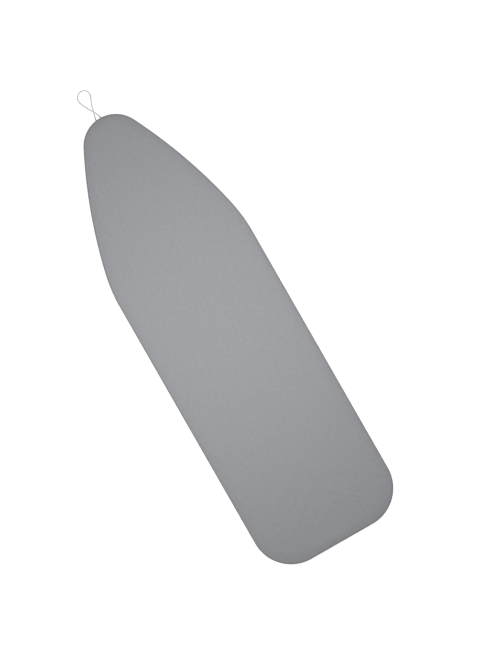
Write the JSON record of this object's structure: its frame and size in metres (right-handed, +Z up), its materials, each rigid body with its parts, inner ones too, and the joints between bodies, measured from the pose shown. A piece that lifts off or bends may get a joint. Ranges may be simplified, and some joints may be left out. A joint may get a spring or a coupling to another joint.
{
  "type": "folding ironing board",
  "caption": "Padded ironing top on a steel mesh frame with folding scissor legs, a sliding height brake worked by a side lever, and a drawcord-tied fabric cover.",
  "frame": {"origin": "on the floor, under the middle of the covered top's length and width, with the legs fully open", "axes": "+X along the board from its square heel to its round nose, +Y to the left seen from the heel, +Z up, square to the ironing face"},
  "size_m": [1.3001, 0.381, 0.895],
  "materials": {
    "cover_fabric": "plain woven cotton cover, light bluish grey, matte",
    "pad_felt": "needled polyester felt, off-white, matte",
    "binding_tape": "folded cotton tape, light grey",
    "cord_braid": "braided white cord",
    "mesh_paint": "powder-coated expanded steel, pale grey",
    "frame_paint": "powder-coated steel tube, silver grey",
    "zinc_steel": "zinc-plated steel, satin",
    "bright_steel": "ground and chromed rod",
    "hard_steel": "hardened blackened steel",
    "spring_steel": "spring wire",
    "white_nylon": "moulded natural nylon",
    "black_nylon": "moulded black nylon",
    "grip_plastic": "moulded dark grey polypropylene",
    "foot_rubber": "moulded dark grey rubber"
  },
  "bodies": {
    "top": {"cover": "cover_fabric", "felt_pad": "pad_felt", "mesh_panel": "mesh_paint", "rim_tube": "frame_paint", "rim_sleeve": "frame_paint", "hem_casing": "binding_tape", "drawcord": "cord_braid", "drawcord_loop": "cord_braid", "heel_brace": "frame_paint", "mid_brace": "frame_paint", "nose_brace": "frame_paint", "hinge_bracket_left": "frame_paint", "hinge_bracket_right": "frame_paint", "bracket_rivets": "zinc_steel", "hinge_pin_left": "zinc_steel", "hinge_pin_right": "zinc_steel", "guide_rod": "bright_steel", "rod_bracket_heel": "zinc_steel", "rod_bracket_nose": "zinc_steel", "rod_bracket_rivets": "zinc_steel", "leg_catch": "black_nylon", "catch_rivets": "zinc_steel", "lever_spring": "spring_steel"},
    "front_leg": {"front_leg_tube_left": "frame_paint", "front_leg_tube_right": "frame_paint", "front_foot_bar": "frame_paint", "front_foot_cap_left": "foot_rubber", "front_foot_cap_right": "foot_rubber", "front_leg_strap": "frame_paint", "front_leg_plugs": "black_nylon", "hinge_bushes": "white_nylon", "cross_bolts": "zinc_steel", "cross_nuts": "zinc_steel", "cross_washers": "white_nylon"},
    "rear_leg": {"rear_leg_tube_left": "frame_paint", "rear_leg_tube_right": "frame_paint", "rear_foot_bar": "frame_paint", "rear_foot_cap_left": "foot_rubber", "rear_foot_cap_right": "foot_rubber", "rear_leg_rungs": "frame_paint", "rear_leg_plugs": "black_nylon", "cross_bushes": "white_nylon", "slide_axle": "zinc_steel", "axle_spacers": "white_nylon"},
    "carriage": {"carriage": "white_nylon", "rocker_pin": "zinc_steel", "rocker_spring": "spring_steel"},
    "release_lever": {"release_lever": "zinc_steel", "control_bar": "zinc_steel", "lever_grip": "grip_plastic"},
    "brake_rocker": {"brake_rocker": "hard_steel"}
  },
  "joints": [
    {"name": "leg_fold", "type": "hinge", "parent": "top", "child": "front_leg", "pos_m": [-0.457, 0, 0.84504], "axis": [0, -1, 0], "range_deg": [0, 56]},
    {"name": "leg_cross", "type": "hinge", "parent": "front_leg", "child": "rear_leg", "pos_m": [-0.21096, 0, 0.48026], "axis": [0, 1, 0], "range_deg": [0, 112]},
    {"name": "carriage_level", "type": "hinge", "parent": "rear_leg", "child": "carriage", "pos_m": [0.03509, 0, 0.84504], "axis": [0, -1, 0], "range_deg": [0, 56]},
    {"name": "lever_squeeze", "type": "hinge", "parent": "top", "child": "release_lever", "pos_m": [-0.049, 0.02, 0.85404], "axis": [-1, 0, 0], "range_deg": [0, 5], "stiffness_Nm_per_rad": 3, "springref_deg": -8.59},
    {"name": "rocker_tilt", "type": "hinge", "parent": "carriage", "child": "brake_rocker", "pos_m": [0.03509, 0.0105, 0.85754], "axis": [1, 0, 0], "range_deg": [0, 2.5]}
  ],
  "couplings": [
    {"joint": "leg_cross", "follows": "leg_fold", "ratio": 2},
    {"joint": "carriage_level", "follows": "leg_fold", "ratio": 1},
    {"joint": "rocker_tilt", "follows": "lever_squeeze", "ratio": 0.5}
  ]
}
